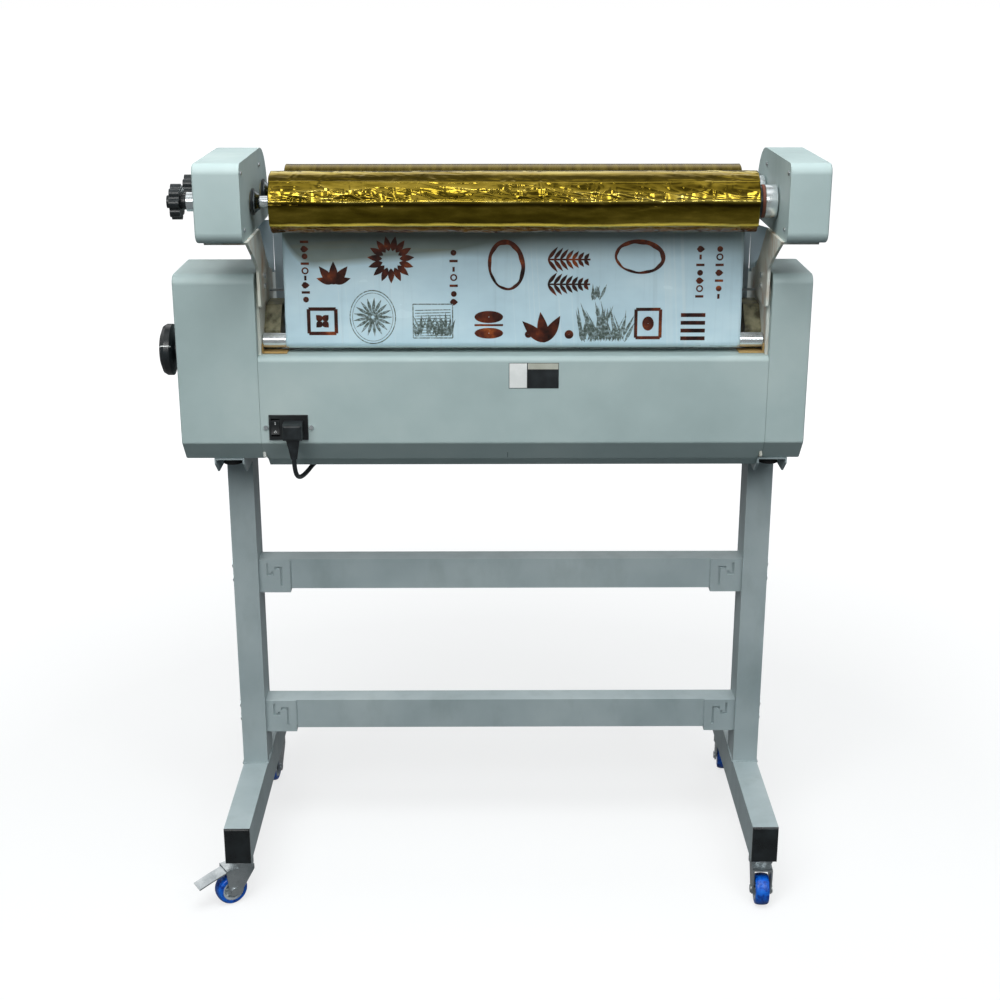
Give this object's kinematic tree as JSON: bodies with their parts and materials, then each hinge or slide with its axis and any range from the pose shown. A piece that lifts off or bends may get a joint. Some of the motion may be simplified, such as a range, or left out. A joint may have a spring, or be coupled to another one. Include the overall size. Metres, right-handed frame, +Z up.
{
  "type": "hot foil stamper",
  "caption": "Roll-fed hot foil stamper on a castered stand: heated rubber rollers press foil from a supply reel onto a sheet, and a rewind reel takes up the waste foil.",
  "frame": {"origin": "middle of the footprint box at floor level, measured without the mains lead", "axes": "+X along the rollers, seen from the delivery side to the right; +Y from the delivery side to the feed side; +Z up"},
  "size_m": [0.962, 0.569, 1.153],
  "materials": {
    "body_paint": "satin",
    "stand_paint": "satin",
    "frame_paint": "satin",
    "block_paint": "satin",
    "guard_paint": "satin",
    "galvanised_sheet": "satin",
    "zinc_plate": "satin",
    "polished_chrome": "polished",
    "black_plastic": "matt",
    "black_nylon": "satin",
    "black_rubber": "matt",
    "silicone_rubber": "matt",
    "blue_polyurethane": "satin",
    "gold_foil": "metallised",
    "polyester_film": "clear",
    "motor_enamel": "satin",
    "heater_aluminium": "matt",
    "circuit_laminate": "satin",
    "display_lens": "gloss",
    "key_caps": "satin",
    "lead_pvc": "satin"
  },
  "bodies": {
    "machine": {"base_pan": "galvanised_sheet", "bearing_blocks": "block_paint", "caster_stems": "zinc_plate", "circuit_board": "circuit_laminate", "cover_screws": "polished_chrome", "crossbars": "stand_paint", "display_window": "display_lens", "drive_motors": "motor_enamel", "feed_table": "galvanised_sheet", "foil_web": "polyester_film", "foot_end_caps": "black_plastic", "frame_bolts": "zinc_plate", "front_cover": "body_paint", "heater_shoes": "heater_aluminium", "inlet_connector": "lead_pvc", "lead_coil": "lead_pvc", "lead_tray": "galvanised_sheet", "left_housing": "body_paint", "mains_lead": "lead_pvc", "mains_plug": "lead_pvc", "power_inlet": "black_nylon", "rear_cover": "body_paint", "reel_arms": "frame_paint", "reel_boxes": "body_paint", "right_housing": "body_paint", "rubber_feet": "black_rubber", "side_frames": "frame_paint", "stand_legs": "stand_paint"},
    "pressure_carriage": {"pressure_carriage": "block_paint"},
    "upper_roller": {"upper_roller": "silicone_rubber", "upper_roller_shaft": "zinc_plate"},
    "lower_roller": {"lower_roller": "silicone_rubber", "lower_roller_shaft": "zinc_plate"},
    "motor_pinion": {"motor_pinion": "zinc_plate"},
    "pressure_gear": {"pressure_shaft": "zinc_plate", "pressure_knob": "black_plastic"},
    "guide_roller": {"guide_roller": "polished_chrome"},
    "rewind_reel": {"rewind_shaft": "polished_chrome", "rewind_roll": "gold_foil", "rewind_chucks": "black_plastic"},
    "supply_reel": {"supply_shaft": "polished_chrome", "supply_roll": "gold_foil", "supply_chucks": "black_plastic"},
    "rewind_knob": {"rewind_star_knob": "black_plastic"},
    "supply_knob": {"supply_star_knob": "black_plastic"},
    "guard": {"guard": "guard_paint"},
    "rocker": {"rocker_switch": "black_nylon"},
    "run_key": {"run_key": "key_caps"},
    "up_key": {"up_key": "key_caps"},
    "down_key": {"down_key": "key_caps"},
    "caster_rear_left": {"caster_fork_rear_left": "zinc_plate"},
    "wheel_rear_left": {"caster_wheel_rear_left": "blue_polyurethane"},
    "caster_rear_right": {"caster_fork_rear_right": "zinc_plate"},
    "wheel_rear_right": {"caster_wheel_rear_right": "blue_polyurethane"},
    "caster_front_left": {"caster_fork_front_left": "zinc_plate"},
    "wheel_front_left": {"caster_wheel_front_left": "blue_polyurethane"},
    "caster_front_right": {"caster_fork_front_right": "zinc_plate"},
    "wheel_front_right": {"caster_wheel_front_right": "blue_polyurethane"},
    "pedal_rear_left": {"brake_pedal_rear_left": "zinc_plate"},
    "pedal_front_right": {"brake_pedal_front_right": "zinc_plate"}
  },
  "joints": [
    {"name": "lower_roller_spin", "type": "hinge", "parent": "machine", "child": "lower_roller", "pos_m": [0.048, -0.05351, 0.833], "axis": [1, 0, 0], "continuous": true},
    {"name": "pressure_lift", "type": "slide", "parent": "machine", "child": "pressure_carriage", "axis": [0, 0, 1], "range_m": [0, 0.004]},
    {"name": "upper_roller_spin", "type": "hinge", "parent": "pressure_carriage", "child": "upper_roller", "pos_m": [0.048, -0.05351, 0.8973], "axis": [1, 0, 0], "continuous": true},
    {"name": "motor_pinion_spin", "type": "hinge", "parent": "machine", "child": "motor_pinion", "pos_m": [0.048, -0.0137, 0.79319], "axis": [1, 0, 0], "continuous": true},
    {"name": "pressure_turn", "type": "hinge", "parent": "machine", "child": "pressure_gear", "pos_m": [0.048, -0.09351, 0.858], "axis": [1, 0, 0], "range_deg": [0, 180]},
    {"name": "guide_roller_spin", "type": "hinge", "parent": "machine", "child": "guide_roller", "pos_m": [0.048, -0.12851, 0.88], "axis": [1, 0, 0], "continuous": true},
    {"name": "rewind_spin", "type": "hinge", "parent": "machine", "child": "rewind_reel", "pos_m": [0.048, -0.17851, 1.09], "axis": [1, 0, 0], "continuous": true},
    {"name": "supply_spin", "type": "hinge", "parent": "machine", "child": "supply_reel", "pos_m": [0.048, -0.07151, 1.09], "axis": [1, 0, 0], "continuous": true},
    {"name": "rewind_knob_turn", "type": "hinge", "parent": "rewind_reel", "child": "rewind_knob", "pos_m": [0.048, -0.17851, 1.09], "axis": [1, 0, 0], "range_deg": [-180, 180]},
    {"name": "supply_knob_turn", "type": "hinge", "parent": "supply_reel", "child": "supply_knob", "pos_m": [0.048, -0.07151, 1.09], "axis": [1, 0, 0], "range_deg": [-180, 180]},
    {"name": "guard_swing", "type": "hinge", "parent": "machine", "child": "guard", "pos_m": [0.048, 0.01349, 0.89], "axis": [-1, 0, 0], "range_deg": [0, 70]},
    {"name": "rocker_tip", "type": "hinge", "parent": "machine", "child": "rocker", "pos_m": [-0.3045, -0.15751, 0.756], "axis": [1, 0, 0], "range_deg": [0, 12]},
    {"name": "run_key_press", "type": "slide", "parent": "machine", "child": "run_key", "axis": [0, -0.3264, -0.9452], "range_m": [0, 0.0015], "stiffness_N_per_m": 200},
    {"name": "up_key_press", "type": "slide", "parent": "machine", "child": "up_key", "axis": [0, -0.3264, -0.9452], "range_m": [0, 0.0015], "stiffness_N_per_m": 200},
    {"name": "down_key_press", "type": "slide", "parent": "machine", "child": "down_key", "axis": [0, -0.3264, -0.9452], "range_m": [0, 0.0015], "stiffness_N_per_m": 200},
    {"name": "rear_left_swivel", "type": "hinge", "parent": "machine", "child": "caster_rear_left", "pos_m": [-0.38, -0.23351, 0.078], "axis": [0, 0, 1], "continuous": true},
    {"name": "rear_left_wheel_spin", "type": "hinge", "parent": "caster_rear_left", "child": "wheel_rear_left", "pos_m": [-0.39696, -0.24411, 0.025], "axis": [0.5299, -0.848, 0], "continuous": true},
    {"name": "rear_left_brake", "type": "hinge", "parent": "caster_rear_left", "child": "pedal_rear_left", "pos_m": [-0.40205, -0.24729, 0.056], "axis": [0.5299, -0.848, 0], "range_deg": [0, 14]},
    {"name": "rear_right_swivel", "type": "hinge", "parent": "machine", "child": "caster_rear_right", "pos_m": [0.44, -0.23351, 0.078], "axis": [0, 0, 1], "continuous": true},
    {"name": "rear_right_wheel_spin", "type": "hinge", "parent": "caster_rear_right", "child": "wheel_rear_right", "pos_m": [0.4393, -0.2535, 0.025], "axis": [0.9994, -0.0349, 0], "continuous": true},
    {"name": "front_left_swivel", "type": "hinge", "parent": "machine", "child": "caster_front_left", "pos_m": [-0.38, 0.17849, 0.078], "axis": [0, 0, 1], "continuous": true},
    {"name": "front_left_wheel_spin", "type": "hinge", "parent": "caster_front_left", "child": "wheel_front_left", "pos_m": [-0.38278, 0.15868, 0.025], "axis": [0.9903, -0.1392, 0], "continuous": true},
    {"name": "front_right_swivel", "type": "hinge", "parent": "machine", "child": "caster_front_right", "pos_m": [0.44, 0.17849, 0.078], "axis": [0, 0, 1], "continuous": true},
    {"name": "front_right_wheel_spin", "type": "hinge", "parent": "caster_front_right", "child": "wheel_front_right", "pos_m": [0.44209, 0.19838, 0.025], "axis": [-0.9945, 0.1045, 0], "continuous": true},
    {"name": "front_right_brake", "type": "hinge", "parent": "caster_front_right", "child": "pedal_front_right", "pos_m": [0.44272, 0.20434, 0.056], "axis": [-0.9945, 0.1045, 0], "range_deg": [0, 14]}
  ],
  "couplings": [
    {"joint": "upper_roller_spin", "follows": "lower_roller_spin", "ratio": -1},
    {"joint": "motor_pinion_spin", "follows": "lower_roller_spin", "ratio": -1.3333},
    {"joint": "pressure_turn", "follows": "pressure_lift", "rad_per_m": 785}
  ]
}
